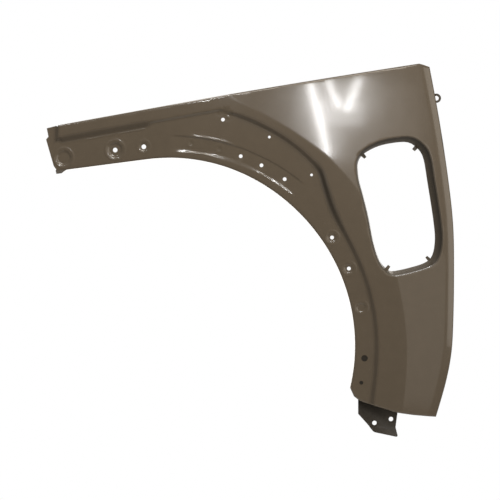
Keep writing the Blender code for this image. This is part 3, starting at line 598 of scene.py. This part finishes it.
# %% A coat: the wiring of one material
class Coat(Wiring):
    def __init__(self, name):
        self.material = bpy.data.materials.new(name)
        self.material.use_nodes = True
        super().__init__(self.material.node_tree)

    def place(self):
        return self.node("ShaderNodeTexCoord").out("Object")

    def mark(self, name):
        """A value that was stored on the vertices."""
        return self.node("ShaderNodeAttribute", {"attribute_name": name}).out("Fac")

    def noise(self, scale, detail=2.0, roughness=0.5, stretch=(1, 1, 1)):
        """A noise pattern of about 1/scale metres, which may be drawn out along an axis."""
        drawn = self.node("ShaderNodeMapping", {}, {"Vector": self.place(), "Scale": stretch}).out("Vector")
        sockets = {"Vector": drawn, "Scale": scale, "Detail": detail, "Roughness": roughness}
        return self.node("ShaderNodeTexNoise", {}, sockets).out("Fac")

    def bump(self, height, depth, under=None):
        """A bump of the given depth in metres, laid over another one if under is given."""
        sockets = {"Height": height, "Distance": depth, "Strength": 1.0}
        if under:
            sockets["Normal"] = under
        return self.node("ShaderNodeBump", {}, sockets).out("Normal")

    def finish(self, **sockets):
        """Ends the coat in a Principled shader, with sockets named in plain words."""
        named = {name.replace("_", " ").title().replace("Ior", "IOR"): sockets[name] for name in sockets}
        shader = self.node("ShaderNodeBsdfPrincipled", {}, named)
        self.node("ShaderNodeOutputMaterial", {}, {"Surface": shader.out("BSDF")})
        return self.material


print("a coat can be written as sums")

# %% [markdown]
# ## The electrocoat
# Electrocoat is a thin primer laid on by current in a bath. On the real panel it is olive brown, glossy
# enough to mirror a lamp, slightly uneven in tone where the bath drained, and finely pebbled, which
# painters call orange peel. A painted picture could carry all this, but patterns that are worked out at
# each point need no unwrapping and show no seams. The tone is a slow noise, the pebbling a fine bump,
# and small specks stand for the dust that every bare primer picks up. In a recess the coat is painted
# darker, which is painted shade, and it is also duller and loses its gloss.

# %% The panel's coat
PANEL_COLOUR = (0.132, 0.103, 0.071, 1.0)
PANEL_DARK = (0.117, 0.091, 0.062, 1.0)
# The colour that painted shade darkens the coat towards in the recesses
PAINTED_SHADE_COLOUR = (0.020, 0.016, 0.011, 1.0)
SPECK = (0.20, 0.175, 0.14, 1.0)
DRAIN_SCALE, DRAIN_STRETCH, DRAIN_SHARE, MOTTLE_SCALE = 3.2, (1, 1, 0.45), 0.65, 45.0
SPECK_SCALE, SPECK_FROM, SPECK_FULL = 620.0, 0.74, 0.80
SPECK_SHARE, SPECK_DULLNESS = 0.35, 0.15
PAINTED_SHADE_STRENGTH, RECESS_DULLNESS = 0.9, 0.35
HAZE_SCALE, HAZE_SPREAD = 14.0, 0.06
PEEL_SCALE, PEEL_DEPTH, WAVE_SCALE, WAVE_DEPTH = 420.0, 0.00004, 24.0, 0.0002
GLOSS_ROUGHNESS = 0.09


def electrocoat(name, colour, dark, roughness, gloss):
    coat = Coat(name)
    drained = coat.noise(DRAIN_SCALE, detail=3.0, stretch=DRAIN_STRETCH)
    mottled = coat.noise(MOTTLE_SCALE, detail=1.0)
    uneven = drained * DRAIN_SHARE + mottled * (1.0 - DRAIN_SHARE)
    tone = coat.blend(uneven.between(0.2, 0.8), dark, colour)
    dust = coat.noise(SPECK_SCALE, detail=1.0).between(SPECK_FROM, SPECK_FULL)
    tone = coat.blend(dust * SPECK_SHARE, tone, SPECK)
    # Painted shade: the mark darkens the coat towards a near-black brown in the recesses
    unshaded_share = 1.0 - coat.mark("painted_shade") * PAINTED_SHADE_STRENGTH
    tone = coat.blend(unshaded_share, PAINTED_SHADE_COLOUR, tone)
    haze = coat.noise(HAZE_SCALE, detail=3.0)
    peel = coat.bump(coat.noise(PEEL_SCALE, detail=1.0), PEEL_DEPTH)
    waves = coat.bump(coat.noise(WAVE_SCALE, detail=0.0), WAVE_DEPTH, under=peel)
    dullness = roughness - HAZE_SPREAD / 2 + haze * HAZE_SPREAD + dust * SPECK_DULLNESS
    dullness = dullness + (1.0 - unshaded_share) * RECESS_DULLNESS
    return coat.finish(
        base_color=tone, roughness=dullness, normal=waves, metallic=0.0, ior=1.5,
        coat_weight=gloss * unshaded_share, coat_roughness=GLOSS_ROUGHNESS,
    )


panel_coat = electrocoat("electrocoat", PANEL_COLOUR, PANEL_DARK, 0.21, 0.7)
keep_piece(panel, "fender_skin", "fender_panel", panel_coat)

# %% [markdown]
# ## The two brackets
# Both brackets are folded from thicker strip and welded on before the bath, so they carry the same coat,
# only duller and darker. The lower bracket's dark colour is partly painted shade, for the shadow it lies
# in under the panel. They could be built again from flat strips, but their shape in the CAD is right, so
# a merged copy only gets smooth faces and sharp sheet edges. The lower one also gets the painted shade
# mark, full where it lies behind the foot of the panel and fading where it hangs just below it.

# %% Brackets with painted shade under the panel
FOOT_Z = -0.115
SHADE_REACH = 0.03
# The lower bracket's colours are partly painted shade, darkened for the shadow under the panel
BRACKET_TONE_AND_SHADE, BRACKET_DARK_TONE_AND_SHADE = (0.044, 0.035, 0.023, 1.0), (0.028, 0.022, 0.015, 1.0)
EAR_COLOUR, EAR_DARK = (0.070, 0.055, 0.036, 1.0), (0.058, 0.045, 0.030, 1.0)


def bracket_piece(node, name, finish, with_painted_shade):
    """A bracket from its CAD node, with painted shade under the panel's foot or without it."""
    strip = merged_copy(node)
    bmesh.ops.recalc_face_normals(strip, faces=strip.faces)
    shade = strip.verts.layers.float.new("painted_shade")
    # Painted shade: full behind the panel's foot, fading over SHADE_REACH below it
    for vert in strip.verts:
        above_foot = vert.co.z - ARCH_CENTRE.z - FOOT_Z
        vert[shade] = smooth(1 + above_foot / SHADE_REACH) if with_painted_shade else 0.0
    keep_piece(strip, name, node, finish)


bracket_coat = electrocoat("bracket_coat", BRACKET_TONE_AND_SHADE, BRACKET_DARK_TONE_AND_SHADE, 0.5, 0.1)
ear_coat = electrocoat("ear_coat", EAR_COLOUR, EAR_DARK, 0.4, 0.3)
bracket_piece("lower_bracket", "sill_bracket", bracket_coat, with_painted_shade=True)
bracket_piece("pillar_ear", "door_post_ear", ear_coat, with_painted_shade=False)

# %% [markdown]
# ## The studio
# The camera stands square to the side of the car, 2.4 m off, level with the middle of the photo. The
# fender hangs in a dim, warm room before a white wall. The camera, and any clear part, sees white on all
# sides. A glossy surface sees it only where the wall is, so the front of the panel mirrors the dim room.
# One large lamp would light the panel as well, but its gloss would show a plain patch. So broad soft
# lamps stand for the walls and the ceiling. Narrow ones are there for what they draw in the gloss: the
# tubes and glows draw the streaks of the upper skin, and the spot the dots on the seats.

# %% Camera
IMAGE_SIZE = 500
PIXEL = 0.00205
CAMERA_DISTANCE = 2.4
MIDDLE_OF_PHOTO = Vector((0.1724, 0, 0.2005))
photo_middle = ARCH_CENTRE + MIDDLE_OF_PHOTO
camera_data = bpy.data.cameras.new("photo_camera")
camera_data.sensor_width = 36.0
camera_data.lens = camera_data.sensor_width * CAMERA_DISTANCE / (IMAGE_SIZE * PIXEL)
camera = bpy.data.objects.new("photo_camera", camera_data)
camera.location = photo_middle - Vector((0, CAMERA_DISTANCE, 0))
camera.rotation_euler = (math.radians(90), 0, 0)
bpy.context.scene.collection.objects.link(camera)
bpy.context.scene.camera = camera
print("focal length in mm:", round(camera_data.lens, 1))

# %% Surroundings and white background
AMBIENT = 0.24
WALL_EDGE, WALL_BLUR = 0.90, 0.04
WHITE = (1.0, 1.0, 1.0, 1.0)
WARM_WHITE = (1.0, 0.93, 0.83, 1.0)
world = bpy.data.worlds.new("studio")
world.use_nodes = True
bpy.context.scene.world = world
room = Wiring(world.node_tree)
rays = room.node("ShaderNodeLightPath")
direction = room.node("ShaderNodeTexCoord").out("Generated")
backwards = room.node("ShaderNodeSeparateXYZ", {}, {"Vector": direction}).out("Y")
white_wall = backwards.between(WALL_EDGE, WALL_EDGE + WALL_BLUR, "LINEAR")
seen_white = rays.out("Is Camera Ray").highest(rays.out("Is Transmission Ray"))
seen_white = seen_white.highest(rays.out("Is Glossy Ray") * white_wall)
strength = AMBIENT + seen_white * (1.0 - AMBIENT)
tint = room.blend(seen_white, WARM_WHITE, WHITE)
surround = room.node("ShaderNodeBackground", {}, {"Color": tint, "Strength": strength}).out("Background")
room.node("ShaderNodeOutputWorld", {}, {"Surface": surround})
print("surroundings at", AMBIENT)


# %% A lamp
LIT = Vector((0.2, 0, 0.3))


def lamp(name, low_end, high_end, width, brightness, colour=(1.0, 1.0, 1.0)):
    """A flat lamp between two places about the arch centre, which faces the panel."""
    low_end, high_end = Vector(low_end), Vector(high_end)
    middle = (low_end + high_end) / 2
    along = (high_end - low_end).normalized()
    away = middle - LIT
    away = (away - away.dot(along) * along).normalized()
    data = bpy.data.lights.new(name, "AREA")
    data.shape = "RECTANGLE"
    data.size = width
    data.size_y = (high_end - low_end).length
    data.energy = brightness * math.pi * data.size * data.size_y
    data.color = colour
    made = bpy.data.objects.new(name, data)
    made.location = ARCH_CENTRE + middle
    made.rotation_euler = Matrix((along.cross(away), along, away)).transposed().to_euler()
    bpy.context.scene.collection.objects.link(made)
    print(name, "gives", round(data.energy, 1), "W")


print("every lamp faces the place", tuple(round(value, 2) for value in LIT), "about the arch centre")

# %% The lamps of the room
WARM = WARM_WHITE[:3]
lamp("front_wall", (0.735, -3.0, 0.3), (0.735, -2.6, 2.6), 0.93, 0.60, WARM)
lamp("low_front_wall", (1.15, -3.2, -1.3), (1.15, -3.0, 0.3), 1.0, 0.41, WARM)
lamp("side_wall", (2.8, -1.7, -0.6), (2.8, -1.7, 3.4), 2.4, 1.35, WARM)
lamp("ceiling", (0.0, -1.9, 2.85), (0.0, -1.1, 3.1), 2.0, 4.5, WARM)
lamp("back_wall", (0.2, 3.2, -0.6), (0.2, 2.8, 2.4), 2.6, 1.1, WARM)
lamp("tube", (0.465, -2.74, 1.56), (0.325, -2.29, 2.42), 0.045, 55)
lamp("bent_tube_left", (0.56, -2.46, 2.14), (0.465, -2.27, 2.45), 0.03, 62)
lamp("bent_tube_right", (0.63, -2.48, 2.10), (0.72, -2.25, 2.46), 0.035, 58)
lamp("glow", (0.55, -2.57, 1.93), (0.57, -2.42, 2.20), 0.38, 7)
lamp("low_glow", (0.46, -2.75, 1.54), (0.50, -2.57, 1.93), 0.24, 2.2)
lamp("left_tube", (-0.62, -1.9, 2.55), (-0.30, -1.9, 2.55), 0.08, 50)
lamp("spot", (-0.62, -2.10, 1.84), (-0.62, -2.06, 1.94), 0.08, 150)
lamp("far_left_tube", (-1.85, -1.55, 2.34), (-1.50, -1.80, 2.34), 0.10, 38)

# %% Floor
FLOOR_HALF_WIDTH = 1.1
FLOOR_MIDDLE = Vector((0.15, 0, -0.95))
FLOOR_GREY, FLOOR_PALE = (0.78, 0.78, 0.77, 1.0), (0.82, 0.82, 0.81, 1.0)
floor_sheet = bmesh.new()
bmesh.ops.create_grid(floor_sheet, x_segments=1, y_segments=1, size=FLOOR_HALF_WIDTH)
bmesh.ops.translate(floor_sheet, verts=floor_sheet.verts, vec=ARCH_CENTRE + FLOOR_MIDDLE)
floor_mesh = bpy.data.meshes.new("studio_floor")
floor_sheet.to_mesh(floor_mesh)
floor_sheet.free()
studio_floor = bpy.data.objects.new("studio_floor", floor_mesh)
bpy.context.scene.collection.objects.link(studio_floor)
floor_coat = Coat("floor_paint")
speckle = floor_coat.noise(30.0, detail=3.0)
floor_tone = floor_coat.blend(speckle, FLOOR_GREY, FLOOR_PALE)
floor_mesh.materials.append(floor_coat.finish(base_color=floor_tone, roughness=0.8))
print("the floor lies", round(-FLOOR_MIDDLE.z - LOW_REACH, 3), "m under the foot of the panel")

# %% Finish
bpy.context.scene.view_settings.view_transform = "Standard"
bpy.context.view_layer.update()
